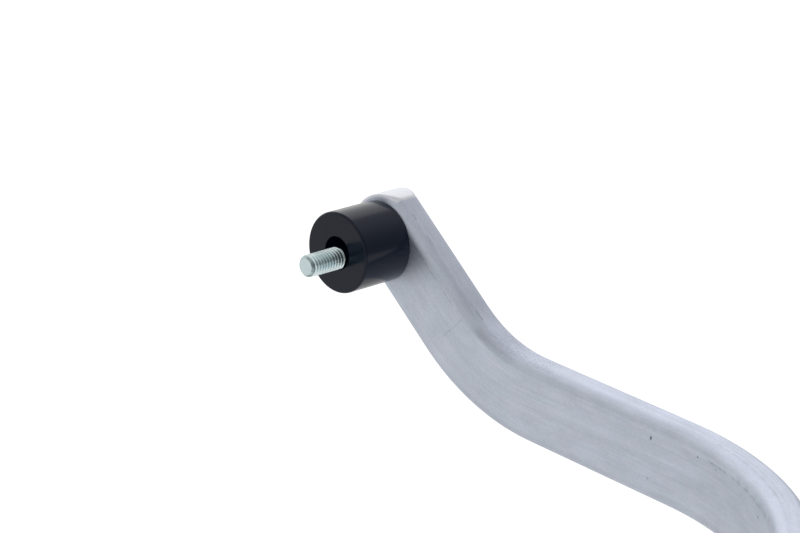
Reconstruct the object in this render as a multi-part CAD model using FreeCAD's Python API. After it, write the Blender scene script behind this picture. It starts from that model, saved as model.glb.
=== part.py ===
import FreeCAD, Part
import math
import os

# Left-hand motorcycle handguard: a bent flat bar held at the handlebar's end and at a clamp inboard.
# Frame: +X inboard along the handlebar, +Y forward, +Z up. The origin is on the bar-end bolt's axis,
# which is also the handlebar's axis, in the plane where the spacer meets the handlebar's end.
# All lengths are in millimetres and all angles in degrees.

# Bar-end bolt and washer
bolt_diameter = 6.0
bolt_shank = 5.4             # rolled bolt: the plain shank is thinner than the thread
bolt_reach = 11.8            # threaded end beyond the spacer
bolt_head_diameter = 10.0
bolt_head_height = 4.0       # low head
bolt_socket_flats = 4.0
bolt_socket_depth = 2.3
bolt_tip_chamfer = 0.7
washer_diameter = 18.0
washer_thickness = 1.6
washer_play = 0.4            # washer hole over bolt diameter

# Spacer, which has settled to one side on the bolt
spacer_diameter = 22.0
spacer_length = 16.1
spacer_hole = 8.9
spacer_edge = 0.5            # chamfer on the rim towards the handlebar
spacer_lean = 119.0          # direction from bolt axis to spacer axis, from +Y towards +Z
settle_gap = 0.15            # left between the bolt and the hole that rests on it

# Bar section and its round cut end, also settled on the bolt
bar_width = 21.6
bar_thickness = 9.8
bar_corner = 3.2
bar_hole = 11.5
bar_end_bulge = 0.8          # radius of the round end over half the bar's width
bar_lean = 84.7              # direction from bolt axis to the bar's hole, from +Y towards +Z

# Bar route: down and forward, level, round the front, diagonally back, then along the handlebar
first_run = 47.6             # hole centre to the corner of the first bend
first_slope = 37.0
first_inner_radius = 36.0    # the edgewise bend is tighter on its inside than its outside
first_outer_radius = 64.5
second_run = 63.9            # corner of the first bend to the start of the front curve
front_radius = 66.7
front_turn = 131.0
tail_radius = 35.0
tail_reach = 60.0            # tail's centre line in front of the handlebar's axis
tail_run = 14.0              # end of the tail bend to the tail's hole

# Handlebar clamp and its arm
handlebar_diameter = 22.2
clamp_wall = 7.0
clamp_width = 26.0
clamp_split = 1.0            # gap between the halves
cap_lug = 9.5                # handlebar axis to the cap's screw seats
body_lug = 14.0              # handlebar axis to the front of the body's lugs
seat_margin = 1.0            # round each screw's head on its seat
arm_width = 18.0
arm_root_height = 30.0
arm_root_drop = 7.0          # handlebar axis down to the middle of the arm's root
arm_heel = 11.0              # straight foot behind the arm's face
arm_corner = 3.0
edge_break = 0.8             # chamfer on the clamp's outer edges

# Clamp screws
screw_diameter = 6.0
screw_head_diameter = 10.0
screw_head_height = 6.0
screw_socket_flats = 5.0
screw_socket_depth = 3.0
screw_grip = 10.0            # thread in the clamp body

# Arm bolt and its washer
arm_bolt_diameter = 8.0
arm_bolt_head_diameter = 13.0
arm_bolt_head_height = 8.0
arm_bolt_socket_flats = 6.0
arm_bolt_socket_depth = 4.0
arm_bolt_grip = 16.0         # thread in the arm
arm_washer_diameter = 16.0
arm_washer_thickness = 1.6

# All bolt heads, and clearances
head_chamfer = 0.7
bolt_play = 0.5              # through holes over bolt diameter
thread_play = 0.2            # threaded holes over bolt diameter
thread_runout = 2.0          # threaded holes past the bolt's end

same_place = 1e-6            # lengths and directions this close are equal
hexagon_sides = 6

AXIS_X = FreeCAD.Vector(1, 0, 0)
AXIS_Y = FreeCAD.Vector(0, 1, 0)
AXIS_Z = FreeCAD.Vector(0, 0, 1)

# Places worked out from the sizes above
slope = math.radians(first_slope)
run_dir = FreeCAD.Vector(0, math.cos(slope), -math.sin(slope))
run_up = FreeCAD.Vector(0, math.sin(slope), math.cos(slope))
half_width = bar_width / 2
bar_end_radius = half_width + bar_end_bulge
bar_inner_x = -spacer_length
bar_outer_x = bar_inner_x - bar_thickness
bar_mid_x = bar_inner_x - bar_thickness / 2


def settled(hole, lean):
    """Centre of a loose hole that rests on the bar-end bolt, leaning the given way."""
    shift = (hole - bolt_diameter) / 2 - settle_gap
    angle = math.radians(lean)
    return FreeCAD.Vector(0, shift * math.cos(angle), shift * math.sin(angle))


spacer_centre = settled(spacer_hole, spacer_lean)
bar_centre = settled(bar_hole, bar_lean)
corner = bar_centre + run_dir * first_run
level_z = corner.z
front_start_y = corner.y + second_run
front_angle = math.radians(front_turn)
tail_turn = front_turn - 90.0
tail_angle = math.radians(tail_turn)
diagonal_dir = FreeCAD.Vector(math.sin(front_angle), math.cos(front_angle), 0)
front_centre = FreeCAD.Vector(bar_mid_x + front_radius, front_start_y, level_z)
front_end = front_centre + FreeCAD.Vector(-math.cos(front_angle), math.sin(front_angle), 0) * front_radius
tail_bend_y = tail_reach + tail_radius * (1 - math.cos(tail_angle))
diagonal_run = (front_end.y - tail_bend_y) / -diagonal_dir.y
diagonal_end = front_end + diagonal_dir * diagonal_run
tail_start = FreeCAD.Vector(diagonal_end.x + tail_radius * math.sin(tail_angle), tail_reach, level_z)
tail_centre = FreeCAD.Vector(tail_start.x, tail_reach + tail_radius, level_z)
tail_hole = tail_start + AXIS_X * tail_run
clamp_x = tail_hole.x
arm_face_y = tail_reach - bar_thickness / 2
clamp_bore_radius = handlebar_diameter / 2
clamp_ring_radius = clamp_bore_radius + clamp_wall


def cylinder(start, axis, diameter, length):
    return Part.makeCylinder(diameter / 2, length, start, axis)


def ring(start, axis, diameter, hole, length):
    return cylinder(start, axis, diameter, length).cut(cylinder(start, axis, hole, length))


def runs_along(edge, axis):
    return edge.tangentAt(edge.FirstParameter).isParallel(axis, same_place)


def tangent_arc(point, before, after, towards, radius, turn):
    """Arc that rounds the corner at point between two directions, bulging away from towards."""
    setback = radius * math.tan(turn / 2)
    start = point - before * setback
    end = point + after * setback
    middle = point + towards * (radius / math.cos(turn / 2) - radius)
    return Part.Arc(start, middle, end), start, end


def section_face(centre):
    """Rounded rectangle of the bar, across a run along +Y."""
    half_x = bar_thickness / 2
    box = Part.makeBox(bar_thickness, bar_thickness, bar_width,
                       centre + FreeCAD.Vector(-half_x, 0, -half_width))
    long_edges = [edge for edge in box.Edges if runs_along(edge, AXIS_Y)]
    rounded = box.makeFillet(bar_corner, long_edges)
    return min(rounded.Faces, key=lambda face: face.CenterOfMass.y)


def bar_profile():
    """Outline of the bar's first two runs on its broad face, at the inner side."""
    bisector = (run_up + AXIS_Z).normalize()
    mitre = bisector * (half_width / math.cos(slope / 2))
    end_setback = math.sqrt(bar_end_radius ** 2 - half_width ** 2)
    end_top = bar_centre - run_dir * end_setback + run_up * half_width
    end_low = bar_centre - run_dir * end_setback - run_up * half_width
    tip = bar_centre - run_dir * bar_end_radius
    stop_top = FreeCAD.Vector(0, front_start_y, level_z + half_width)
    stop_low = FreeCAD.Vector(0, front_start_y, level_z - half_width)
    inner_arc, inner_start, inner_end = tangent_arc(corner + mitre, run_dir, AXIS_Y, bisector,
                                                    first_inner_radius, slope)
    outer_arc, outer_start, outer_end = tangent_arc(corner - mitre, run_dir, AXIS_Y, bisector,
                                                    first_outer_radius, slope)
    outline = [
        Part.Arc(end_low, tip, end_top),
        Part.LineSegment(end_top, inner_start),
        inner_arc,
        Part.LineSegment(inner_end, stop_top),
        Part.LineSegment(stop_top, stop_low),
        Part.LineSegment(stop_low, outer_end),
        outer_arc,
        Part.LineSegment(outer_start, end_low),
    ]
    wire = Part.Wire([piece.toShape() for piece in outline])
    wire.translate(AXIS_X * bar_inner_x)
    return Part.Face(wire)


def rounded_start():
    """First two runs: the outline pulled to the bar's thickness, with its long edges rounded."""
    plate = bar_profile().extrude(-AXIS_X * bar_thickness)
    long_edges = []
    for edge in plate.Edges:
        middle = edge.valueAt((edge.FirstParameter + edge.LastParameter) / 2)
        across = runs_along(edge, AXIS_X)
        at_round_end = middle.y < bar_centre.y and edge.Curve.TypeId == "Part::GeomCircle"
        at_stop = middle.y > front_start_y - same_place
        if not across and not at_round_end and not at_stop:
            long_edges.append(edge)
    return plate.makeFillet(bar_corner, long_edges)


def guard_bar():
    start = rounded_start()
    section = section_face(FreeCAD.Vector(bar_mid_x, front_start_y, level_z))
    front = section.revolve(front_centre, -AXIS_Z, front_turn)
    section.rotate(front_centre, -AXIS_Z, front_turn)
    diagonal = section.extrude(diagonal_dir * diagonal_run)
    section.translate(diagonal_dir * diagonal_run)
    tail_bend = section.revolve(tail_centre, AXIS_Z, tail_turn)
    section.rotate(tail_centre, AXIS_Z, tail_turn)
    tail_length = tail_run + bar_end_radius
    tail = section.extrude(AXIS_X * tail_length)
    # The tail's end is cut round like the first end
    outside = Part.makeBox(bar_end_radius, bar_thickness, bar_width,
                           FreeCAD.Vector(tail_hole.x, tail_reach - bar_thickness / 2, level_z - half_width))
    across = FreeCAD.Vector(tail_hole.x, tail_reach - bar_thickness / 2, level_z)
    outside = outside.cut(cylinder(across, AXIS_Y, 2 * bar_end_radius, bar_thickness))
    tail = tail.cut(outside)
    bar = start.fuse([front, diagonal, tail_bend, tail]).removeSplitter()
    end_hole = cylinder(bar_centre + AXIS_X * bar_outer_x, AXIS_X, bar_hole, bar_thickness)
    inner_hole = cylinder(across, AXIS_Y, arm_bolt_diameter + bolt_play, bar_thickness)
    return bar.cut([end_hole, inner_hole])


def bar_end_spacer():
    body = ring(spacer_centre - AXIS_X * spacer_length, AXIS_X, spacer_diameter, spacer_hole, spacer_length)
    rims = [edge for edge in body.Edges
            if edge.Curve.TypeId == "Part::GeomCircle" and edge.Curve.Radius > spacer_hole / 2]
    front_rim = max(rims, key=lambda edge: edge.CenterOfMass.x)
    return body.makeChamfer(spacer_edge, [front_rim])


def cap_screw(seat, axis, diameter, length, head_diameter, head_height, flats, depth):
    """Socket head cap screw with its head's underside at seat and its threaded shank along axis."""
    top = seat - axis * head_height
    head = cylinder(top, axis, head_diameter, head_height)
    crown = min(head.Edges, key=lambda edge: edge.CenterOfMass.dot(axis))
    head = head.makeChamfer(head_chamfer, [crown])
    shank = cylinder(seat, axis, diameter, length)
    across = axis.cross(AXIS_Z)
    points = []
    corner_radius = flats / 2 / math.cos(math.pi / hexagon_sides)
    for step in range(hexagon_sides):
        turn = FreeCAD.Rotation(axis, 360.0 * step / hexagon_sides)
        points.append(top + turn.multVec(across) * corner_radius)
    socket = Part.Face(Part.makePolygon(points + points[:1])).extrude(axis * depth)
    return head.fuse(shank).cut(socket).removeSplitter()


def bar_end_bolt():
    """Low head bolt: its thread shows beyond the spacer, and a plain shank runs from there to the head."""
    seat = AXIS_X * (bar_outer_x - washer_thickness)
    bolt = cap_screw(seat, AXIS_X, bolt_diameter, bolt_reach - seat.x, bolt_head_diameter,
                     bolt_head_height, bolt_socket_flats, bolt_socket_depth)
    bolt = bolt.cut(ring(seat, AXIS_X, bolt_diameter, bolt_shank, -seat.x))
    tip = max(bolt.Edges, key=lambda edge: edge.CenterOfMass.x)
    return bolt.makeChamfer(bolt_tip_chamfer, [tip])


def bar_end_washer():
    return ring(AXIS_X * (bar_outer_x - washer_thickness), AXIS_X, washer_diameter,
                bolt_diameter + washer_play, washer_thickness)


def clamp_half_face(lug, side):
    """Side outline of one clamp half about the handlebar: a half ring with a lug above and below."""
    split = side * clamp_split / 2
    seat = side * lug
    shoulder = math.sqrt(clamp_ring_radius ** 2 - lug ** 2)
    top = lug_top()

    def at(y, z):
        return FreeCAD.Vector(clamp_x - clamp_width / 2, y, z)

    outline = [
        Part.LineSegment(at(split, top), at(seat, top)),
        Part.LineSegment(at(seat, top), at(seat, shoulder)),
        Part.Arc(at(seat, shoulder), at(side * clamp_ring_radius, 0), at(seat, -shoulder)),
        Part.LineSegment(at(seat, -shoulder), at(seat, -top)),
        Part.LineSegment(at(seat, -top), at(split, -top)),
        Part.LineSegment(at(split, -top), at(split, top)),
    ]
    return Part.Face(Part.Wire([piece.toShape() for piece in outline]))


def screw_height():
    """Height of the clamp screws, clear of the cap's ring by the head and its margin."""
    shoulder = math.sqrt(clamp_ring_radius ** 2 - cap_lug ** 2)
    return shoulder + screw_head_diameter / 2 + seat_margin


def lug_top():
    return screw_height() + screw_head_diameter / 2 + seat_margin


def broken_outside(half, side):
    """Chamfer on the edges of both side faces, apart from those at the split."""
    ends = (clamp_x - clamp_width / 2, clamp_x + clamp_width / 2)
    edges = []
    for edge in half.Edges:
        box = edge.BoundBox
        on_end = box.XLength < same_place and min(abs(box.XMin - end) for end in ends) < same_place
        if on_end and side * edge.CenterOfMass.y > clamp_split / 2 + same_place:
            edges.append(edge)
    return half.makeChamfer(edge_break, edges)


def clamp_bore():
    return cylinder(FreeCAD.Vector(clamp_x - clamp_width / 2, 0, 0), AXIS_X, handlebar_diameter, clamp_width)


def screw_seats(y):
    return [FreeCAD.Vector(clamp_x, y, sign * screw_height()) for sign in (1, -1)]


def clamp_arm():
    """Arm from the clamp's front down to the bar's tail, with rounded outer corners."""
    foot_top = level_z + half_width
    foot_low = level_z - half_width
    root_top = arm_root_height / 2 - arm_root_drop
    root_low = root_top - arm_root_height
    root_y = body_lug / 2
    corners = [(root_y, root_top), (arm_face_y - arm_heel, foot_top), (arm_face_y, foot_top),
               (arm_face_y, foot_low), (arm_face_y - arm_heel, foot_low), (root_y, root_low)]
    points = [FreeCAD.Vector(clamp_x - arm_width / 2, y, z) for y, z in corners]
    arm = Part.Face(Part.makePolygon(points + points[:1])).extrude(AXIS_X * arm_width)
    rounded = []
    for edge in arm.Edges:
        if runs_along(edge, AXIS_X) and abs(edge.CenterOfMass.y - arm_face_y + arm_heel) < same_place:
            rounded.append(edge)
    return arm.makeFillet(arm_corner, rounded)


def clamp_body():
    half = clamp_half_face(body_lug, 1).extrude(AXIS_X * clamp_width)
    half = broken_outside(half, 1)
    body = half.fuse(clamp_arm()).removeSplitter()
    hole = screw_diameter + thread_play
    depth = screw_grip + thread_runout
    threads = [cylinder(seat, AXIS_Y, hole, depth) for seat in screw_seats(clamp_split / 2)]
    arm_thread = cylinder(FreeCAD.Vector(clamp_x, arm_face_y, level_z), -AXIS_Y,
                          arm_bolt_diameter + thread_play, arm_bolt_grip + thread_runout)
    return body.cut([clamp_bore(), arm_thread] + threads)


def clamp_cap():
    half = clamp_half_face(cap_lug, -1).extrude(AXIS_X * clamp_width)
    half = broken_outside(half, -1)
    holes = [cylinder(seat, AXIS_Y, screw_diameter + bolt_play, cap_lug) for seat in screw_seats(-cap_lug)]
    return half.cut([clamp_bore()] + holes)


def clamp_screws():
    length = cap_lug + clamp_split / 2 + screw_grip
    return [cap_screw(seat, AXIS_Y, screw_diameter, length, screw_head_diameter, screw_head_height,
                      screw_socket_flats, screw_socket_depth) for seat in screw_seats(-cap_lug)]


def arm_bolt_seat():
    front = tail_reach + bar_thickness / 2 + arm_washer_thickness
    return FreeCAD.Vector(clamp_x, front, level_z)


def arm_bolt():
    length = arm_washer_thickness + bar_thickness + arm_bolt_grip
    return cap_screw(arm_bolt_seat(), -AXIS_Y, arm_bolt_diameter, length, arm_bolt_head_diameter,
                     arm_bolt_head_height, arm_bolt_socket_flats, arm_bolt_socket_depth)


def arm_washer():
    return ring(arm_bolt_seat(), -AXIS_Y, arm_washer_diameter, arm_bolt_diameter + washer_play,
                arm_washer_thickness)


pieces = {
    "guard_bar": guard_bar(),
    "bar_end_spacer": bar_end_spacer(),
    "bar_end_bolt": bar_end_bolt(),
    "bar_end_washer": bar_end_washer(),
    "clamp_body": clamp_body(),
    "clamp_cap": clamp_cap(),
    "clamp_bolts": Part.makeCompound(clamp_screws()),
    "arm_bolt": arm_bolt(),
    "arm_washer": arm_washer(),
}

os.makedirs("parts", exist_ok=True)
for name, shape in pieces.items():
    shape.exportStep(os.path.join("parts", name + ".step"))
    box = shape.optimalBoundingBox()
    print(f"{name}: {len(shape.Solids)} solid(s), valid {shape.isValid()}, volume {shape.Volume:.1f} mm3, "
          f"{box.XLength:.1f} x {box.YLength:.1f} x {box.ZLength:.1f} mm")
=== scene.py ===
import math

import bmesh
import bpy
from mathutils import Matrix, Vector


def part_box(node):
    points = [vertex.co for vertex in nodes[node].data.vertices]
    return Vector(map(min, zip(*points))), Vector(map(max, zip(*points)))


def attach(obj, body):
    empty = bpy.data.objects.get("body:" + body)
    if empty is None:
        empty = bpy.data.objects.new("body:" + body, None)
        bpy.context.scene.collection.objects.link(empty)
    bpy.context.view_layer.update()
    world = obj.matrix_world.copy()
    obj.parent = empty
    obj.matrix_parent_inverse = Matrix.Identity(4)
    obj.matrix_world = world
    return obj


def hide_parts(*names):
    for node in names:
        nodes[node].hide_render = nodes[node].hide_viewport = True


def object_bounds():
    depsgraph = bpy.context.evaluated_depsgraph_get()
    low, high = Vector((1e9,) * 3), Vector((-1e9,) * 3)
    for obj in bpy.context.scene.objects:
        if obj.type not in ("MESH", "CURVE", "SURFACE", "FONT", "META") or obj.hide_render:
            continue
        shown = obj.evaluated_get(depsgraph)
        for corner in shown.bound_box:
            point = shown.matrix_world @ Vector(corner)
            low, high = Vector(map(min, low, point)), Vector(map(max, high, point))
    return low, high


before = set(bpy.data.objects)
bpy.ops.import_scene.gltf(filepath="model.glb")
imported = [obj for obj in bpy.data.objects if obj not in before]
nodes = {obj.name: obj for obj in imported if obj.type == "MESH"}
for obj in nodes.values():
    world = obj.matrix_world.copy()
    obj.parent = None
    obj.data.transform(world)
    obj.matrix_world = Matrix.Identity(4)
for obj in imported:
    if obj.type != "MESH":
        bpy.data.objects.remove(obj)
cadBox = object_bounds()
mm = 0.001
mergeGap = 0.001 * mm       # points closer than this are one
print("frame loaded:", ", ".join(sorted(nodes)))


class Flow:
    # Wraps a node socket, so that node maths reads as plain arithmetic
    def __init__(self, tree, socket=None):
        self.tree = tree
        self.socket = socket

    def add(self, kind, settings=None, inputs=None, output=0):
        node = self.tree.nodes.new(kind)
        for name, value in (settings or {}).items():
            setattr(node, name, value)
        for name, value in (inputs or {}).items():
            self.plug(node.inputs[name], value)
        return Flow(self.tree, node.outputs[output])

    def plug(self, socket, value):
        if isinstance(value, Flow):
            self.tree.links.new(value.socket, socket)
        else:
            socket.default_value = value

    def maths(self, operation, *values):
        return self.add("ShaderNodeMath", {"operation": operation}, dict(enumerate(values)))

    def __add__(self, other):
        return self.maths("ADD", self, other)

    def __sub__(self, other):
        return self.maths("SUBTRACT", self, other)

    def __mul__(self, other):
        return self.maths("MULTIPLY", self, other)

    def __truediv__(self, other):
        return self.maths("DIVIDE", self, other)

    def __radd__(self, other):
        return self.maths("ADD", other, self)

    def __rsub__(self, other):
        return self.maths("SUBTRACT", other, self)

    def __rmul__(self, other):
        return self.maths("MULTIPLY", other, self)

    def __rtruediv__(self, other):
        return self.maths("DIVIDE", other, self)

    def __abs__(self):
        return self.maths("ABSOLUTE", self)

    def least(self, other):
        return self.maths("MINIMUM", self, other)

    def most(self, other):
        return self.maths("MAXIMUM", self, other)

    def root(self):
        return self.maths("SQRT", self)

    def sine(self):
        return self.maths("SINE", self)

    def cosine(self):
        return self.maths("COSINE", self)

    def fraction(self):
        return self.maths("FRACT", self)

    def sway(self, size):
        # a noise, whose mean is 0.5, as a swing about 0
        return (self - 0.5) * size

    def ease(self, low, high):
        # 0 below low, 1 above high, smooth between
        settings = {"interpolation_type": "SMOOTHSTEP"}
        return self.add("ShaderNodeMapRange", settings, {"Value": self, "From Min": low, "From Max": high})

    def between(self, low, high, fade):
        # 1 from low to high, with soft ends
        return self.ease(low - fade, low + fade) * (1 - self.ease(high - fade, high + fade))

    def blend(self, dark, light):
        # colour mix with this value as its factor; 6 and 7 are the Mix node's colours, 2 its colour output
        settings = {"data_type": "RGBA"}
        return self.add("ShaderNodeMix", settings, {0: self, 6: dark, 7: light}, output=2)

    def parts(self):
        split = self.tree.nodes.new("ShaderNodeSeparateXYZ")
        self.plug(split.inputs[0], self)
        return [Flow(self.tree, socket) for socket in split.outputs]

    def vector(self, x, y, z):
        return self.add("ShaderNodeCombineXYZ", None, {0: x, 1: y, 2: z})


def newMaterial(name):
    material = bpy.data.materials.new(name)
    material.use_nodes = True
    return material, Flow(material.node_tree), material.node_tree.nodes["Principled BSDF"]


def objectPlace(flow):
    # place on the piece in millimetres, from Object coordinates
    place = flow.add("ShaderNodeTexCoord", output="Object")
    return flow.add("ShaderNodeVectorMath", {"operation": "SCALE"}, {0: place, "Scale": 1 / mm})


def noise(flow, vector, scale, detail=2.0, roughness=0.5):
    inputs = {"Vector": vector, "Scale": scale, "Detail": detail, "Roughness": roughness}
    return flow.add("ShaderNodeTexNoise", None, inputs)


def mixed(noises, weights):
    # the noises that have a weight, added up
    return sum(noises[name] * weight for name, weight in weights.items())


def bump(flow, shader, height, distance):
    inputs = {"Strength": 1.0, "Distance": distance, "Height": height}
    flow.plug(shader.inputs["Normal"], flow.add("ShaderNodeBump", None, inputs))


def newObject(name, data):
    piece = bpy.data.objects.new(name, data)
    bpy.context.scene.collection.objects.link(piece)
    return piece


# Camera: fitted to the spacer's rims and the bar's outlines
cameraSettings = {
    "position": (0.435498, 0.431421, 0.233424),
    "forward": (-0.68077, -0.63938, -0.35742),
    "right": (-0.70330, 0.70693, 0.07496),
    "lens": 112.5,
    "sensor": 36.0,
    "clipStart": 0.01,
}


def makeCamera(settings):
    data = bpy.data.cameras.new("photoCamera")
    data.lens = settings["lens"]
    data.sensor_fit = "HORIZONTAL"
    data.sensor_width = settings["sensor"]
    data.clip_start = settings["clipStart"]
    camera = newObject("photoCamera", data)
    back = -Vector(settings["forward"]).normalized()
    right = Vector(settings["right"])
    right = (right - back * right.dot(back)).normalized()
    turn = Matrix((right, back.cross(right), back)).transposed()
    camera.matrix_world = Matrix.Translation(settings["position"]) @ turn.to_4x4()
    bpy.context.scene.camera = camera


makeCamera(cameraSettings)
print("camera placed")


# Studio: white backdrop behind the bar, a dimmer room in front of it, two wide soft lamps
studioSettings = {
    "roomLevel": 0.22,
    "backdropSide": (0.0, -1.0),
    "backdropEdges": (-0.90, -0.10),    # where its light starts and is full, along that side
    "backdropInGloss": 0.56,            # share of white that metal mirrors there, besides the back lamp
    "floorDrop": 0.10,
    "floorSize": 12.0,
    "floorShade": 0.85,
    "floorRoughness": 0.9,
    "floorGlow": 0.72,
    "floorGlowInGloss": 0.36,
    "lamps": {
        "backLamp": {"place": (-0.9, -2.2, 1.1), "size": (5.0, 2.9), "level": 0.56, "mirrored": True},
        "topLamp": {"place": (-0.6, 0.3, 2.4), "size": (2.4, 2.4), "level": 1.0, "mirrored": False},
    },
}


def lightPath(flow):
    path = flow.tree.nodes.new("ShaderNodeLightPath")
    names = ("Is Camera Ray", "Is Glossy Ray", "Is Transmission Ray")
    return [Flow(flow.tree, path.outputs[name]) for name in names]


def makeWorld(settings):
    world = bpy.data.worlds.new("studio")
    bpy.context.scene.world = world
    world.use_nodes = True
    flow = Flow(world.node_tree)
    camera, glossy, through = lightPath(flow)
    x, y, unused = flow.add("ShaderNodeTexCoord", output="Generated").parts()   # direction, in a world
    sideX, sideY = settings["backdropSide"]
    backdrop = (x * sideX + y * sideY).ease(*settings["backdropEdges"])
    room = settings["roomLevel"]
    level = room + (1 - room) * camera.most(through).most(glossy * backdrop * settings["backdropInGloss"])
    shade = flow.add("ShaderNodeBackground", None, {"Color": (1.0, 1.0, 1.0, 1.0), "Strength": level})
    world.node_tree.links.new(shade.socket, world.node_tree.nodes["World Output"].inputs[0])


def makeFloor(settings):
    mesh = bpy.data.meshes.new("floor")
    half = settings["floorSize"] / 2
    height = cadBox[0].z - settings["floorDrop"]
    corners = [(-half, -half, height), (half, -half, height), (half, half, height), (-half, half, height)]
    mesh.from_pydata(corners, [], [(0, 1, 2, 3)])
    floor = newObject("floor", mesh)
    material, flow, shader = newMaterial("paleFloor")
    shade = settings["floorShade"]
    shader.inputs["Base Color"].default_value = (shade, shade, shade, 1.0)
    shader.inputs["Roughness"].default_value = settings["floorRoughness"]
    shader.inputs["Specular IOR Level"].default_value = 0.0
    camera, glossy, through = lightPath(flow)
    shader.inputs["Emission Color"].default_value = (1.0, 1.0, 1.0, 1.0)
    glow = camera.most(through) * settings["floorGlow"] + glossy * settings["floorGlowInGloss"]
    flow.plug(shader.inputs["Emission Strength"], glow)
    mesh.materials.append(material)


def makeLamps(settings):
    for name, lamp in settings["lamps"].items():
        data = bpy.data.lights.new(name, "AREA")
        data.shape = "RECTANGLE"
        data.size, data.size_y = lamp["size"]
        # an area lamp of this power has the radiance that "level" asks for
        data.energy = lamp["level"] * math.pi * data.size * data.size_y
        light = newObject(name, data)
        light.location = lamp["place"]
        light.rotation_euler = (-Vector(lamp["place"])).to_track_quat("-Z", "Y").to_euler()
        light.visible_camera = False
        light.visible_glossy = lamp["mirrored"]


bpy.context.scene.view_settings.view_transform = "Standard"
makeWorld(studioSettings)
makeFloor(studioSettings)
makeLamps(studioSettings)
print("studio ready")


def applyModifiers(piece):
    graph = bpy.context.evaluated_depsgraph_get()
    mesh = bpy.data.meshes.new_from_object(piece.evaluated_get(graph))
    piece.modifiers.clear()
    piece.data = mesh


def cutHoles(piece, cutters):
    for cutter in cutters:
        modifier = piece.modifiers.new("hole", "BOOLEAN")
        modifier.operation = "DIFFERENCE"
        modifier.solver = "EXACT"
        modifier.object = cutter
    applyModifiers(piece)
    for cutter in cutters:
        bpy.data.objects.remove(cutter)


def makeCutter(centre, axis, radius, length, sides):
    build = bmesh.new()
    turn = axis.to_track_quat("Z", "Y").to_matrix().to_4x4()
    bmesh.ops.create_cone(build, cap_ends=True, segments=sides, radius1=radius, radius2=radius,
                          depth=length, matrix=Matrix.Translation(centre) @ turn)
    mesh = bpy.data.meshes.new("cutter")
    build.to_mesh(mesh)
    build.free()
    return newObject("cutter", mesh)


def smoothFaces(piece, sharpAngle):
    piece.data.shade_smooth()
    piece.data.set_sharp_from_angle(angle=math.radians(sharpAngle))
    modifier = piece.modifiers.new("evenNormals", "WEIGHTED_NORMAL")
    modifier.keep_sharp = True
    applyModifiers(piece)


# Guard bar: one skin swept along the bar's route, cut round at both ends
barSettings = {
    "width": 21.6 * mm,
    "thickness": 9.8 * mm,
    "corner": 3.2 * mm,
    "endRadius": 11.6 * mm,
    "endHole": 11.5 * mm,
    "firstRun": 47.6 * mm,
    "firstSlope": 37.0,
    "firstInnerRadius": 36.0 * mm,
    "firstOuterRadius": 64.5 * mm,
    "firstZone": 26.0 * mm,         # length either side of the first bend's corner that it takes up
    "secondRun": 63.9 * mm,
    "frontRadius": 66.7 * mm,
    "frontTurn": 131.0,
    "tailRadius": 35.0 * mm,
    "tailRun": 14.0 * mm,
    "tailHole": 8.5 * mm,
    "cutEdge": 0.35 * mm,           # file's break on the cut ends
    "cutEdgeSteps": 3,
    "step": 1.4 * mm,               # length of a row of faces
    "cornerSteps": 8,
    "faceSteps": 14,
    "endSteps": 5,
    "holeSides": 96,
    "smoothAngle": 35.0,
}
axisX, axisY, axisZ = Vector((1, 0, 0)), Vector((0, 1, 0)), Vector((0, 0, 1))


def sectionLanes(settings):
    # points (across the thickness, across the width, distance round) of the bar's section,
    # from the middle of the outer broad face and round by its upper narrow face
    halfT, halfW, corner = settings["thickness"] / 2, settings["width"] / 2, settings["corner"]
    flatW = halfW - corner
    flatT = halfT - corner
    steps, faces = settings["cornerSteps"], settings["faceSteps"]
    points = [(-halfT, flatW * 2 * k / faces) for k in range(faces // 2)]
    corners = [(-flatT, flatW, 180.0), (flatT, flatW, 90.0), (flatT, -flatW, 0.0), (-flatT, -flatW, -90.0)]
    for index, (middleT, middleW, start) in enumerate(corners):
        for k in range(steps + 1):
            angle = math.radians(start - 90.0 * k / steps)
            points.append((middleT + corner * math.cos(angle), middleW + corner * math.sin(angle)))
        if index == 1:
            points += [(halfT, flatW - 2 * flatW * k / faces) for k in range(1, faces)]
    points += [(-halfT, -flatW + flatW * 2 * k / faces) for k in range(1, faces // 2 + 1)]
    lanes = []
    around = 0.0
    for index, point in enumerate(points):
        if index:
            around += math.dist(point, points[index - 1])
        lanes.append((*point, around))
    return lanes


def roundedEdge(point, before, after, inward, radius, turn, reach, count):
    # an edge of the first bend at even steps: straight, arc, straight
    setback = radius * math.tan(turn / 2)
    centre = point + inward * (radius / math.cos(turn / 2))
    straight = reach - setback
    curve = radius * turn
    start = point - before * setback - centre
    points = []
    for step in range(count + 1):
        along = (2 * straight + curve) * step / count
        if along < straight:
            points.append(point - before * (reach - along))
        elif along < straight + curve:
            points.append(centre + Matrix.Rotation((along - straight) / radius, 3, "X") @ start)
        else:
            points.append(point + after * (along - straight - curve + setback))
    return points


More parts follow.
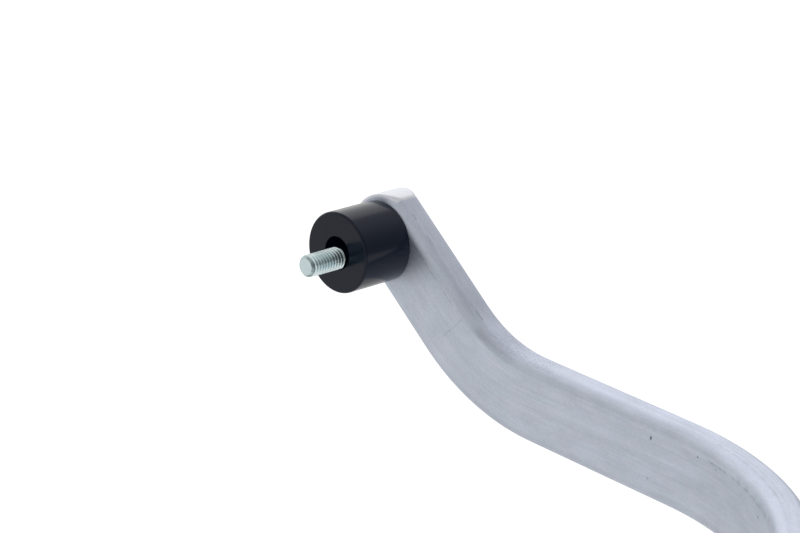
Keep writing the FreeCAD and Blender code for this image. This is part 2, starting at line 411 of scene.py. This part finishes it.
def barStations(settings):
    # each station: lower and upper edge of the middle plane, the inner face's normal, distance along
    width, step = settings["width"], settings["step"]
    slope = math.radians(settings["firstSlope"])
    runDir = Vector((0, math.cos(slope), -math.sin(slope)))
    runUp = Vector((0, math.sin(slope), math.cos(slope)))
    barLow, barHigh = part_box("guard_bar")
    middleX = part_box("bar_end_spacer")[0].x - settings["thickness"] / 2
    levelZ = barLow.z + width / 2
    frontY = barHigh.y - settings["frontRadius"] - settings["thickness"] / 2
    corner = Vector((middleX, frontY - settings["secondRun"], levelZ))
    hole = corner - runDir * settings["firstRun"]
    stations = []

    def add(low, high, normal, along):
        stations.append((low, high, normal, along))

    zone = settings["firstZone"]
    firstStraight = settings["firstRun"] - zone
    count = math.ceil(firstStraight / step)
    for k in range(count):
        centre = hole + runDir * (firstStraight * k / count)
        add(centre - runUp * width / 2, centre + runUp * width / 2, axisX, firstStraight * k / count)

    bisector = (runUp + axisZ).normalized()
    mitre = bisector * (width / 2 / math.cos(slope / 2))
    shift = width / 2 * math.tan(slope / 2)
    count = math.ceil(2 * zone / step)
    inner = roundedEdge(corner + mitre, runDir, axisY, bisector, settings["firstInnerRadius"], slope,
                        zone - shift, count)
    outer = roundedEdge(corner - mitre, runDir, axisY, bisector, settings["firstOuterRadius"], slope,
                        zone + shift, count)
    for k, (low, high) in enumerate(zip(outer, inner)):
        add(low, high, axisX, firstStraight + 2 * zone * k / count)

    # the rest of the route lies level: straight lengths and turns about the vertical
    tailTurn = settings["frontTurn"] - 90.0
    front = math.radians(settings["frontTurn"])
    tail = math.radians(tailTurn)
    tailHoleX = barHigh.x - settings["endRadius"]
    frontEndX = middleX + settings["frontRadius"] * (1 - math.cos(front))
    tailReachX = settings["tailRadius"] * math.sin(tail) + settings["tailRun"]
    diagonal = (tailHoleX - tailReachX - frontEndX) / math.sin(front)
    route = [
        (settings["secondRun"] - zone, 0.0),
        (settings["frontRadius"] * front, front),
        (diagonal, 0.0),
        (settings["tailRadius"] * tail, -tail),
        (settings["tailRun"], 0.0),
    ]
    place = corner + axisY * zone
    heading = 0.0
    along = stations[-1][3]
    up = axisZ * width / 2
    for length, turn in route:
        count = math.ceil(length / step)
        for k in range(count):
            small = turn / count
            chord = length / count
            if turn:
                chord = 2 * length / abs(turn) * math.sin(abs(small) / 2)
            middle = heading + small / 2
            place = place + Vector((math.sin(middle), math.cos(middle), 0)) * chord
            heading += small
            along += length / count
            add(place - up, place + up, Vector((math.cos(heading), -math.sin(heading), 0)), along)
    return stations, hole, runDir, place, Vector((math.sin(heading), math.cos(heading), 0))


def sweepBar(settings):
    # rows of points along the bar, with their UV: along the bar, round the section
    lanes = sectionLanes(settings)
    stations, hole, runDir, tailHole, tailDir = barStations(settings)
    width, radius, ends = settings["width"], settings["endRadius"], settings["endSteps"]

    def row(station, push, direction):
        low, high, normal, along = station
        points = []
        for across, wide, around in lanes:
            reach = push * math.sqrt(radius ** 2 - wide ** 2)
            point = low + (high - low) * (wide / width + 0.5) + normal * across + direction * reach
            points.append((point, (along + reach, around)))
        return points

    rows = [row(stations[0], k / ends - 1, runDir) for k in range(ends)]
    rows += [row(station, 0.0, runDir) for station in stations]
    rows += [row(stations[-1], (k + 1) / ends, tailDir) for k in range(ends)]
    return rows, hole, tailHole


def makeBarMesh(settings):
    rows, hole, tailHole = sweepBar(settings)
    cutSlot = 1             # material slot of the cut ends
    build = bmesh.new()
    layer = build.loops.layers.uv.new("barLines")
    count = len(rows[0]) - 1                      # the last lane closes on the first
    skin = [[build.verts.new(point) for point, uv in row[:count]] for row in rows]
    for i in range(len(rows) - 1):
        for j in range(count):
            places = [(i, j), (i + 1, j), (i + 1, j + 1), (i, j + 1)]
            face = build.faces.new([skin[a][b % count] for a, b in places])
            for loop, (a, b) in zip(face.loops, places):
                loop[layer].uv = rows[a][b][1]
    # cut ends: strips between the lanes that face each other across the thickness
    firstInner = settings["faceSteps"] // 2 + settings["cornerSteps"] + 1
    for line in (skin[0], skin[-1]):
        for j in range(firstInner, count - firstInner):
            facing = [(count // 2 - j - 1) % count, (count // 2 - j) % count]
            face = build.faces.new([line[j], line[j + 1], line[facing[0]], line[facing[1]]])
            face.material_index = cutSlot
    bmesh.ops.recalc_face_normals(build, faces=build.faces)
    rim = [edge for edge in build.edges if len({face.material_index for face in edge.link_faces}) == 2]
    bmesh.ops.bevel(build, geom=rim, offset=settings["cutEdge"], segments=settings["cutEdgeSteps"],
                    profile=0.5, affect="EDGES", material=cutSlot)
    mesh = bpy.data.meshes.new("guardBar")
    build.to_mesh(mesh)
    build.free()
    return mesh, hole, tailHole


def makeBar(settings, skinMaterial, cutMaterial):
    mesh, hole, tailHole = makeBarMesh(settings)
    mesh.materials.append(skinMaterial)
    mesh.materials.append(cutMaterial)
    bar = newObject("guardBar", mesh)
    length = settings["thickness"] * 2
    cutHoles(bar, [makeCutter(hole, axisX, settings["endHole"] / 2, length, settings["holeSides"]),
                   makeCutter(tailHole, axisY, settings["tailHole"] / 2, length, settings["holeSides"])])
    smoothFaces(bar, settings["smoothAngle"])
    return bar


def barPlace(flow, settings):
    # millimetres along the bar from its end hole, up round the section from the inner face's middle, off
    # the middle of the nearest broad face, and round as a circle, which closes on itself
    flat = settings["width"] + settings["thickness"] - 4 * settings["corner"]
    half = (flat + math.pi * settings["corner"]) / mm
    along, around, unused = flow.add("ShaderNodeUVMap", {"uv_map": "barLines"}).parts()
    up = half - around / mm
    off = abs(up).least(half - abs(up))
    angle = up * (math.pi / half)
    size = half / math.pi
    return along / mm, up, off, angle.sine() * size, angle.cosine() * size


# Bar finish: extruded aluminium as it left the mill, with die lines along it, the marks of handling, and
# painted shade in its bends and along its lower edge.
# Places are millimetres along the bar from its end hole and up from the middle of its inner face
barFinish = {
    "dull": (0.575, 0.598, 0.684, 1.0),
    "bright": (0.725, 0.752, 0.847, 1.0),
    "dullGreen": (0.548, 0.604, 0.675, 1.0),
    "brightGreen": (0.698, 0.761, 0.844, 1.0),
    "dullSide": (0.588, 0.622, 0.732, 1.0),     # upper narrow face
    "brightSide": (0.732, 0.772, 0.898, 1.0),
    "side": (10.2, 19.5, 1.3),                  # up, where it starts and ends, and its fade
    "sideGreen": 0.5,                           # share of its tint that green patches take away
    "filed": (0.88, 0.90, 0.95, 1.0),
    "mark": (0.16, 0.17, 0.20, 1.0),
    "flatNoises": {             # steps per mm along and up, place in depth, detail, roughness
        "fineLines": (0.05, 3.4, 0.0, 3.0, 0.6),
        "grain": (1.6, 1.6, 3.2, 3.0, 0.6),
        "skips": (0.45, 0.5, 21.0, 3.0, 0.7),
    },
    "roundNoises": {            # the same, but closed round the section
        "broadLines": (0.015, 0.8, 0.0, 2.0, 0.5),
        "clouds": (0.11, 0.22, 9.0, 4.0, 0.6),
        "hue": (0.12, 0.25, 15.0, 3.0, 0.6),
    },
    "tone": {"fineLines": 0.75, "broadLines": 0.4, "clouds": 0.65, "grain": 0.5},
    "toneShift": -0.65,
    "toneEdges": (0.15, 0.85),  # noise at which a change starts, and is full
    "hueEdges": (0.25, 0.75),
    "skipEdges": (0.30, 0.62),
    "height": {"fineLines": 0.6, "broadLines": 0.8, "grain": 0.5},
    "markDepth": 2.0,
    "bumpDepth": 0.03 * mm,
    "roughness": 0.50,
    "lineRoughness": 0.2,
    "scratchesAndShade": (              # from, to, up, half width, strength
        (0.9, 3.0, 12.45, 0.16, 0.55),
        (8.0, 11.2, 12.42, 0.16, 0.50),
        (31.8, 32.8, 12.37, 0.16, 0.40),
        (34.6, 38.4, 12.42, 0.20, 0.62),
        (33.4, 36.6, 12.95, 0.12, 0.30),
        (8.0, 31.0, 7.60, 0.16, 0.45),
        (86.0, 96.0, 7.60, 0.14, 0.20),
        (125.0, 158.0, 7.45, 0.42, 0.40),
        # painted shade: a broad soft dark band along the rounded corner inside the front bend, not a
        # scratch
        (137.0, 162.0, 7.90, 1.40, 0.22),
        (124.0, 158.0, 12.80, 0.50, 0.18),
        (128.0, 160.0, 14.20, 0.35, 0.12),
    ),
    "scratchFade": 0.4,         # soft ends, mm
    "scratchWaver": 0.5,        # how far a scratch wanders, mm
    "longScratch": 20.0,        # scratches longer than this come and go
    "pits": (                   # along, up, half length, half width, strength
        (105.3, 6.06, 0.45, 0.75, 0.95),
        (121.1, 6.92, 0.55, 0.40, 0.60),
        (128.3, 6.45, 0.70, 0.30, 0.45),
        (151.9, 4.71, 0.45, 0.60, 0.80),
        (105.7, -4.71, 0.60, 0.50, 0.30),
    ),
    "markCore": 0.3,            # share of a mark's half width that is full
    "crossMark": {"from": (31.7, -1.9), "to": (34.0, 7.6), "half": 0.22, "fade": 0.5, "waver": 1.8,
                  "strength": 0.22},
    "orangePeel": {"from": 45.0, "to": 69.0, "fade": 4.0, "up": (11.0, 19.5, 0.8), "shade": 0.09,
                   "middle": 0.52, "contrast": 1.6, "height": 3.0},
    # painted shade: a dark band where the first bend dents the bar's inner corner, darkest at its start
    "creaseShade": {"from": (38.0, 41.5), "fade": (41.0, 60.0), "low": (7.6, 9.0), "high": (9.2, 11.8),
               "strength": 0.27},
    "lowEdgeShade": {"up": (-19.5, -8.2, 1.8), "strength": 0.09},     # painted shade along the lower edge
    # painted shade on the inside of the front bend
    "frontBendShade": {"from": 122.0, "to": 185.0, "fade": 12.0, "strength": 0.09},
    "filedEnd": {"radius": (10.75, 11.0), "along": (-3.9, -3.5)},
}


def barNoises(flow, along, up, roundY, roundZ, settings):
    noises = {}
    for name, (lengthwise, across, depth, detail, roughness) in settings["flatNoises"].items():
        place = flow.vector(along * lengthwise, up * across, depth)
        noises[name] = noise(flow, place, 1.0, detail, roughness)
    for name, (lengthwise, across, depth, detail, roughness) in settings["roundNoises"].items():
        place = flow.vector(along * lengthwise, roundY * across, roundZ * across + depth)
        noises[name] = noise(flow, place, 1.0, detail, roughness)
    return noises


def barMarks(along, up, waver, skips, settings):
    # a mark's strength in the middle of a scratch, a pit or the painted shade band, 0 on clean metal
    core = settings["markCore"]
    marks = 0.0
    for start, end, level, half, strength in settings["scratchesAndShade"]:
        wander = up - level + waver.sway(settings["scratchWaver"])
        line = 1 - abs(wander).ease(core * half, half)
        if end - start > settings["longScratch"]:
            line = line * skips
        marks = (along.between(start, end, settings["scratchFade"]) * line * strength).most(marks)
    for place, level, halfLength, halfWidth, strength in settings["pits"]:
        far = (along - place) / halfLength
        high = (up - level) / halfWidth
        marks = ((1 - (far * far + high * high).root().ease(core, 1.0)) * strength).most(marks)
    cross = settings["crossMark"]
    (startAlong, startUp), (endAlong, endUp) = cross["from"], cross["to"]
    slant = along - startAlong - (up - startUp) * ((endAlong - startAlong) / (endUp - startUp))
    slant = slant + waver.sway(cross["waver"])
    line = 1 - abs(slant).ease(core * cross["half"], cross["half"])
    return (up.between(startUp, endUp, cross["fade"]) * line * cross["strength"]).most(marks)


def barAluminium(settings):
    material, flow, shader = newMaterial("barAluminium")
    along, up, off, roundY, roundZ = barPlace(flow, barSettings)
    noises = barNoises(flow, along, up, roundY, roundZ, settings)
    grain = noises["grain"]
    hue = noises["hue"].ease(*settings["hueEdges"])
    side = up.between(*settings["side"])

    # what bending, filing and handling left on it, and painted shade in the bends and along the lower edge
    marks = barMarks(along, up, grain, noises["skips"].ease(*settings["skipEdges"]), settings)
    peel = settings["orangePeel"]
    peeled = along.between(peel["from"], peel["to"], peel["fade"]) * up.between(*peel["up"])
    creaseShade = settings["creaseShade"]
    # painted shade of the dent along the first bend's inner corner
    paintedCreaseShade = along.ease(*creaseShade["from"]) * (1 - along.ease(*creaseShade["fade"])) * creaseShade["strength"]
    paintedCreaseShade = paintedCreaseShade * up.ease(*creaseShade["low"]) * (1 - up.ease(*creaseShade["high"]))
    end = settings["filedEnd"]
    filed = (along * along + off * off).root().ease(*end["radius"]) * (1 - along.ease(*end["along"]))
    # painted shade along the lower edge and on the inside of the front bend
    rim, frontBendShade = settings["lowEdgeShade"], settings["frontBendShade"]
    # painted shade on the inside of the front bend
    frontBendShaded = along.between(frontBendShade["from"], frontBendShade["to"], frontBendShade["fade"]) * (1 - side)
    paintedShade = (up.between(*rim["up"]) * rim["strength"]).most(frontBendShaded * frontBendShade["strength"])
    dark = marks.most(paintedCreaseShade).most(paintedShade).most(peeled * peel["shade"])

    tone = mixed(noises, settings["tone"]) + settings["toneShift"]
    tone = (tone + (grain - peel["middle"]) * peeled * peel["contrast"]).ease(*settings["toneEdges"])
    lavender = tone.blend(settings["dull"], settings["bright"])
    green = tone.blend(settings["dullGreen"], settings["brightGreen"])
    sideShade = tone.blend(settings["dullSide"], settings["brightSide"])
    colour = (side * (1 - hue * settings["sideGreen"])).blend(hue.blend(lavender, green), sideShade)
    colour = filed.blend(colour, settings["filed"])
    flow.plug(shader.inputs["Base Color"], dark.blend(colour, settings["mark"]))
    shader.inputs["Metallic"].default_value = 1.0
    roughness = settings["roughness"] + noises["fineLines"].sway(settings["lineRoughness"])
    flow.plug(shader.inputs["Roughness"], roughness)
    height = mixed(noises, settings["height"]) + grain * peeled * peel["height"]
    bump(flow, shader, height - marks * settings["markDepth"], settings["bumpDepth"])
    return material


# Cut ends of the bar: filed across the thickness
cutFinish = {
    "dull": (0.72, 0.74, 0.78, 1.0),
    "bright": (0.84, 0.86, 0.90, 1.0),
    "strokes": (0.25, 5.0, 5.0),        # steps per mm along X, Y and Z
    "strokeDepth": 0.03 * mm,
    "strokeRoughness": 0.12,
    "roughness": 0.40,
}


def cutAluminium(settings):
    material, flow, shader = newMaterial("cutAluminium")
    x, y, z = objectPlace(flow).parts()
    stepX, stepY, stepZ = settings["strokes"]
    strokes = noise(flow, flow.vector(x * stepX, y * stepY, z * stepZ), 1.0, detail=3.0)
    flow.plug(shader.inputs["Base Color"], strokes.blend(settings["dull"], settings["bright"]))
    shader.inputs["Metallic"].default_value = 1.0
    flow.plug(shader.inputs["Roughness"], settings["roughness"] + strokes * settings["strokeRoughness"])
    bump(flow, shader, strokes, settings["strokeDepth"])
    return material


bar = makeBar(barSettings, barAluminium(barFinish), cutAluminium(cutFinish))
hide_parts("guard_bar")
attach(bar, "root")
print("guard bar made:", len(bar.data.polygons), "faces")


def lathe(name, profile, centre, sides, capped=False):
    # (x, radius) points turned about an axis along X: a closed ring, or one that is open at its start
    # and capped at its end
    build = bmesh.new()
    rings = []
    for x, radius in profile:
        ring = []
        for k in range(sides):
            angle = 2 * math.pi * k / sides
            point = Vector((x, radius * math.cos(angle), radius * math.sin(angle)))
            ring.append(build.verts.new(point + Vector((0, centre.y, centre.z))))
        rings.append(ring)
    last = len(rings) - 1 if capped else len(rings)
    for i in range(last):
        here, there = rings[i], rings[(i + 1) % len(rings)]
        for k in range(sides):
            build.faces.new([here[k], here[(k + 1) % sides], there[(k + 1) % sides], there[k]])
    if capped:
        build.faces.new(rings[-1])
    bmesh.ops.recalc_face_normals(build, faces=build.faces)
    mesh = bpy.data.meshes.new(name)
    build.to_mesh(mesh)
    build.free()
    return newObject(name, mesh)


def quarter(x, radius, size, start, steps):
    # a rounded rim: a quarter circle about (x, radius), in profile points
    points = []
    for k in range(steps + 1):
        angle = math.radians(start + 90.0 * k / steps)
        points.append((x + size * math.cos(angle), radius + size * math.sin(angle)))
    return points


# Spacer: turned black plastic, its front rim rounded over
spacerSettings = {
    "hole": 8.9 * mm,
    "rimRound": 0.6 * mm,
    "backRound": 0.12 * mm,
    "holeRound": 0.15 * mm,
    "rimSteps": 8,
    "sides": 192,
    "smoothAngle": 40.0,
    "shade": (0.0032, 0.0098, 0.0300, 1.0),
    "gloss": 0.29,
    "roughness": 0.13,
    "hazeScale": 0.35,
    "hazeRoughness": 0.05,
    "grainScale": 9.0,
    "grainRoughness": 0.03,
    "grainDepth": 0.004 * mm,
}


def makeSpacer(settings, material):
    low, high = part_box("bar_end_spacer")
    centre = (low + high) / 2
    radius, hole = (high.y - low.y) / 2, settings["hole"] / 2
    rim, back, lip = settings["rimRound"], settings["backRound"], settings["holeRound"]
    steps = settings["rimSteps"]
    profile = quarter(high.x - lip, hole + lip, lip, -90.0, steps)
    profile += quarter(high.x - rim, radius - rim, rim, 0.0, steps)
    profile += quarter(low.x + back, radius - back, back, 90.0, steps)
    profile += [(low.x, hole)]
    spacer = lathe("barEndSpacer", profile, centre, settings["sides"])
    spacer.data.materials.append(material)
    smoothFaces(spacer, settings["smoothAngle"])
    return spacer


def spacerBlack(settings):
    material, flow, shader = newMaterial("spacerBlack")
    place = objectPlace(flow)
    haze = noise(flow, place, settings["hazeScale"], detail=3.0)
    grain = noise(flow, place, settings["grainScale"])
    shader.inputs["Base Color"].default_value = settings["shade"]
    shader.inputs["Specular IOR Level"].default_value = settings["gloss"]
    dulled = haze * settings["hazeRoughness"] + grain * settings["grainRoughness"]
    flow.plug(shader.inputs["Roughness"], settings["roughness"] + dulled)
    bump(flow, shader, grain, settings["grainDepth"])
    return material


spacer = makeSpacer(spacerSettings, spacerBlack(spacerSettings))
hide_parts("bar_end_spacer")
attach(spacer, "root")
print("spacer made")


# Bar-end bolt: rolled M6 thread made by rule, on a plain shank with a low socket head
boltSettings = {
    "pitch": 1.0 * mm,
    "depth": 0.613 * mm,
    "crestFlat": 0.125,             # shares of the pitch
    "rootFlat": 0.25,
    "radius": 3.0 * mm,
    "shankRadius": 2.7 * mm,
    "tipChamfer": 0.7 * mm,
    "runOut": 0.5 * mm,
    "headRadius": 5.0 * mm,
    "headHeight": 4.0 * mm,
    "headChamfer": 0.7 * mm,
    "socketFlats": 4.0 * mm,
    "socketDepth": 2.3 * mm,
    "socketSides": 6,
    "sides": 96,
    "stepsPerTurn": 16,
    "smoothAngle": 38.0,
}


def threadTree():
    tree = bpy.data.node_groups.new("rolledThread", "GeometryNodeTree")
    tree.interface.new_socket("Geometry", in_out="OUTPUT", socket_type="NodeSocketGeometry")
    sockets = {
        "NodeSocketFloat": ("Pitch", "Depth", "Crest Flat", "Root Flat", "Radius", "Shank Radius", "Length",
                            "Tip Chamfer", "Run Out", "Turns"),
        "NodeSocketInt": ("Sides", "Steps"),
        "NodeSocketMaterial": ("Finish",),
    }
    for kind, names in sockets.items():
        for name in names:
            tree.interface.new_socket(name, in_out="INPUT", socket_type=kind)
    flow = Flow(tree)
    source = tree.nodes.new("NodeGroupInput")
    given = {socket.name: Flow(tree, socket) for socket in source.outputs if socket.name}
    pitch, length, sides = given["Pitch"], given["Length"], given["Sides"]
    radius, shank = given["Radius"], given["Shank Radius"]

    # the grid spans -0.5 to 0.5; its lanes run along the helix, so each keeps one place of the profile
    grid = flow.add("GeometryNodeMeshGrid", None, {
        "Size X": 1.0, "Size Y": 1.0, "Vertices X": sides + 1, "Vertices Y": given["Steps"]})
    across, lane, unused = flow.add("GeometryNodeInputPosition").parts()
    turn = across + 0.5
    helix = (lane + 0.5) * given["Turns"] * pitch
    x = (helix + (turn - 1) * pitch).most(0.0).least(length)
    wave = abs((helix / pitch).fraction() * 2 - 1)
    groove = flow.add("ShaderNodeMapRange", None, {
        "Value": wave, "From Min": given["Crest Flat"], "From Max": 1 - given["Root Flat"]})
    started = x.ease(0.0, given["Run Out"])
    threadRadius = shank + started * (radius - groove * given["Depth"] - shank)
    tipRadius = radius - given["Tip Chamfer"]
    finalRadius = threadRadius.least(tipRadius + (length - x))
    angle = turn * (2 * math.pi)
    place = flow.vector(x, finalRadius * angle.cosine(), finalRadius * angle.sine())
    skin = flow.add("GeometryNodeSetPosition", None, {"Geometry": grid, "Position": place})

    circle = {"Vertices": sides, "Radius": tipRadius}
    cap = flow.add("GeometryNodeMeshCircle", {"fill_type": "TRIANGLE_FAN"}, circle)
    capY, capZ, unused = flow.add("GeometryNodeInputPosition").parts()
    capPlace = flow.vector(length, capY, capZ)
    cap = flow.add("GeometryNodeSetPosition", None, {"Geometry": cap, "Position": capPlace})
    join = tree.nodes.new("GeometryNodeJoinGeometry")
    for part in (skin, cap):
        tree.links.new(part.socket, join.inputs[0])
    joined = Flow(tree, join.outputs[0])
    merged = flow.add("GeometryNodeMergeByDistance", None, {"Geometry": joined, "Distance": mergeGap})
    real = flow.add("GeometryNodeRealizeInstances", None, {"Geometry": merged})
    done = flow.add("GeometryNodeSetMaterial", None, {"Geometry": real, "Material": given["Finish"]})
    tree.links.new(done.socket, tree.nodes.new("NodeGroupOutput").inputs[0])
    return tree


def makeThread(settings, length, material):
    thread = newObject("thread", bpy.data.meshes.new("thread"))
    modifier = thread.modifiers.new("rolledThread", "NODES")
    modifier.node_group = threadTree()
    # whole lanes to each turn, so that the seam closes
    steps = math.ceil((length / settings["pitch"] + 1) * settings["stepsPerTurn"])
    values = {
        "Pitch": settings["pitch"], "Depth": settings["depth"], "Radius": settings["radius"],
        "Crest Flat": settings["crestFlat"], "Root Flat": settings["rootFlat"],
        "Shank Radius": settings["shankRadius"], "Length": length, "Tip Chamfer": settings["tipChamfer"],
        "Run Out": settings["runOut"], "Turns": steps / settings["stepsPerTurn"],
        "Sides": settings["sides"], "Steps": steps + 1, "Finish": material,
    }
    for socket in modifier.node_group.interface.items_tree:
        if socket.in_out == "INPUT":
            modifier[socket.identifier] = values[socket.name]
    applyModifiers(thread)
    return thread


def makeBolt(settings, material):
    low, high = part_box("bar_end_bolt")
    thread = makeThread(settings, high.x, material)
    seat = low.x + settings["headHeight"]
    shank, head, chamfer = settings["shankRadius"], settings["headRadius"], settings["headChamfer"]
    profile = [(0.0, shank), (seat, shank), (seat, head), (low.x + chamfer, head), (low.x, head - chamfer)]
    body = lathe("barEndBolt", profile, Vector(), settings["sides"], capped=True)
    corner = settings["socketFlats"] / 2 / math.cos(math.pi / settings["socketSides"])
    place = Vector((low.x, 0, 0))
    cutHoles(body, [makeCutter(place, axisX, corner, 2 * settings["socketDepth"], settings["socketSides"])])
    build = bmesh.new()
    build.from_mesh(body.data)
    build.from_mesh(thread.data)
    bmesh.ops.remove_doubles(build, verts=build.verts, dist=mergeGap)
    bmesh.ops.recalc_face_normals(build, faces=build.faces)
    build.to_mesh(body.data)
    build.free()
    bpy.data.objects.remove(thread)
    body.data.materials.clear()
    body.data.materials.append(material)
    smoothFaces(body, settings["smoothAngle"])
    return body


# Zinc plating: pale, faintly green, mottled, with painted shade in the thread's roots
zincFinish = {
    "dull": (0.74, 0.87, 0.88, 1.0),
    "bright": (0.89, 0.98, 0.99, 1.0),
    # colour of the painted shade in the thread's roots; the tip's flat and the worn crests take it too
    "root": (0.49, 0.62, 0.64, 1.0),
    "shadedRoots": (2.42, 2.80),        # radius in mm: painted shade in the thread's roots below, none above
    "threadStart": (0.0, 0.3),      # where the painted root shade starts, mm along
    "tip": (10.95, 11.15),          # where the thread ends and the tip's chamfer starts, mm along
    "tipRim": (2.20, 2.32),         # edge of the tip's flat
    "tipShade": 0.46,
    "ring": (0.20, 0.26, 0.27, 1.0),    # painted shade on the tip's chamfer
    "ringShade": 0.75,
    "ringEdges": (0.30, 0.55),      # mottle at which it starts, and is full
    "worn": (5.5, 9.0),             # stretch of the thread with dulled crests, mm along
    "wornFade": 1.4,
    "wornShade": 0.40,
    "wornEdges": (0.35, 0.55),
    "grooveShade": 0.85,
    "mottleScale": 1.3,
    "mottleEdges": (0.3, 0.7),
    "mottleRoughness": 0.2,
    "speckScale": 6.0,
    "speckRoughness": 0.08,
    "bumpDepth": 0.008 * mm,
    "roughness": 0.23,
}


def zincSteel(name, settings, threaded):
    material, flow, shader = newMaterial(name)
    place = objectPlace(flow)
    mottle = noise(flow, place, settings["mottleScale"], detail=4.0, roughness=0.6)
    speck = noise(flow, place, settings["speckScale"])
    colour = mottle.ease(*settings["mottleEdges"]).blend(settings["dull"], settings["bright"])
    if threaded:
        x, y, z = place.parts()
        reach = (y * y + z * z).root()
        tip = x.ease(*settings["tip"])
        # painted shade in the thread's roots
        shadedRoots = (1 - reach.ease(*settings["shadedRoots"])) * x.ease(*settings["threadStart"]) * (1 - tip)
        worn = x.between(*settings["worn"], settings["wornFade"]) * mottle.ease(*settings["wornEdges"])
        dark = (shadedRoots * settings["grooveShade"]).most(worn * settings["wornShade"])
        colour = dark.most(tip * settings["tipShade"]).blend(colour, settings["root"])
        # painted shade on the tip's chamfer, in patches
        chamfer = reach.ease(*settings["tipRim"]) * tip * mottle.ease(*settings["ringEdges"])
        colour = (chamfer * settings["ringShade"]).blend(colour, settings["ring"])
    flow.plug(shader.inputs["Base Color"], colour)
    shader.inputs["Metallic"].default_value = 1.0
    uneven = mottle.sway(settings["mottleRoughness"]) + speck.sway(settings["speckRoughness"])
    flow.plug(shader.inputs["Roughness"], settings["roughness"] + uneven)
    bump(flow, shader, speck + mottle, settings["bumpDepth"])
    return material


bolt = makeBolt(boltSettings, zincSteel("zincThread", zincFinish, True))
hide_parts("bar_end_bolt")
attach(bolt, "root")
print("bar-end bolt made:", len(bolt.data.polygons), "faces")


# Clamp: cast aluminium, fine blasted, its edges rounded over
clampFinish = {
    "edgeRound": 0.6 * mm,
    "edgeSteps": 5,
    "edgeAngle": 50.0,          # faces that meet at more than this have their edge rounded
    "shortEdge": 0.7 * mm,      # the rims of the screw holes have shorter edges, and stay as drilled
    "flatAngle": 0.5,           # triangles that meet at less than this are one flat face
    "smoothAngle": 20.0,
    "dull": (0.50, 0.52, 0.55, 1.0),
    "bright": (0.60, 0.62, 0.65, 1.0),
    "cloudScale": 0.12,
    "grainScale": 2.6,
    "tone": {"clouds": 0.7, "grain": 0.4},
    "toneShift": -0.05,
    "toneEdges": (0.25, 0.75),
    "grainDepth": 0.05 * mm,
    "grainRoughness": 0.14,
    "roughness": 0.46,
}


def blastedAluminium(settings):
    material, flow, shader = newMaterial("blastedAluminium")
    place = objectPlace(flow)
    grain = noise(flow, place, settings["grainScale"], detail=3.0, roughness=0.6)
    clouds = noise(flow, place, settings["cloudScale"], detail=3.0)
    tone = mixed({"clouds": clouds, "grain": grain}, settings["tone"]) + settings["toneShift"]
    colour = tone.ease(*settings["toneEdges"]).blend(settings["dull"], settings["bright"])
    flow.plug(shader.inputs["Base Color"], colour)
    shader.inputs["Metallic"].default_value = 1.0
    flow.plug(shader.inputs["Roughness"], settings["roughness"] + grain.sway(settings["grainRoughness"]))
    bump(flow, shader, grain, settings["grainDepth"])
    return material


def roundedCopy(name, node, settings, material):
    # a merged copy of a plain solid's mesh, with its sharp outer edges rounded over
    build = bmesh.new()
    build.from_mesh(nodes[node].data)
    bmesh.ops.remove_doubles(build, verts=build.verts, dist=mergeGap)
    bmesh.ops.dissolve_limit(build, angle_limit=math.radians(settings["flatAngle"]), verts=build.verts,
                             edges=build.edges)
    weight = build.edges.layers.float.new("bevel_weight_edge")
    sharp = math.radians(settings["edgeAngle"])
    for edge in build.edges:
        longEnough = edge.calc_length() > settings["shortEdge"]
        if longEnough and edge.is_convex and edge.calc_face_angle() > sharp:
            edge[weight] = 1.0
    mesh = bpy.data.meshes.new(name)
    build.to_mesh(mesh)
    build.free()
    mesh.materials.append(material)
    piece = newObject(name, mesh)
    modifier = piece.modifiers.new("roundEdges", "BEVEL")
    modifier.width = settings["edgeRound"]
    modifier.segments = settings["edgeSteps"]
    modifier.limit_method = "WEIGHT"
    modifier.use_clamp_overlap = False
    applyModifiers(piece)
    smoothFaces(piece, settings["smoothAngle"])
    return piece


blasted = blastedAluminium(clampFinish)
for name, node in (("clampBody", "clamp_body"), ("clampCap", "clamp_cap")):
    clampHalf = roundedCopy(name, node, clampFinish, blasted)
    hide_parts(node)
    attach(clampHalf, "root")
    print("clamp half made:", name, len(clampHalf.data.polygons), "faces")

# Other screws and washers: the same plating, a little duller
plateFinish = {
    **zincFinish,
    "dull": (0.56, 0.63, 0.65, 1.0),
    "bright": (0.74, 0.80, 0.81, 1.0),
    "roughness": 0.27,
}

plainZinc = zincSteel("zincPlate", plateFinish, False)
for name in ("clamp_bolts", "arm_bolt", "arm_washer", "bar_end_washer"):
    nodes[name].data.materials.clear()
    nodes[name].data.materials.append(plainZinc)
print("fasteners finished")
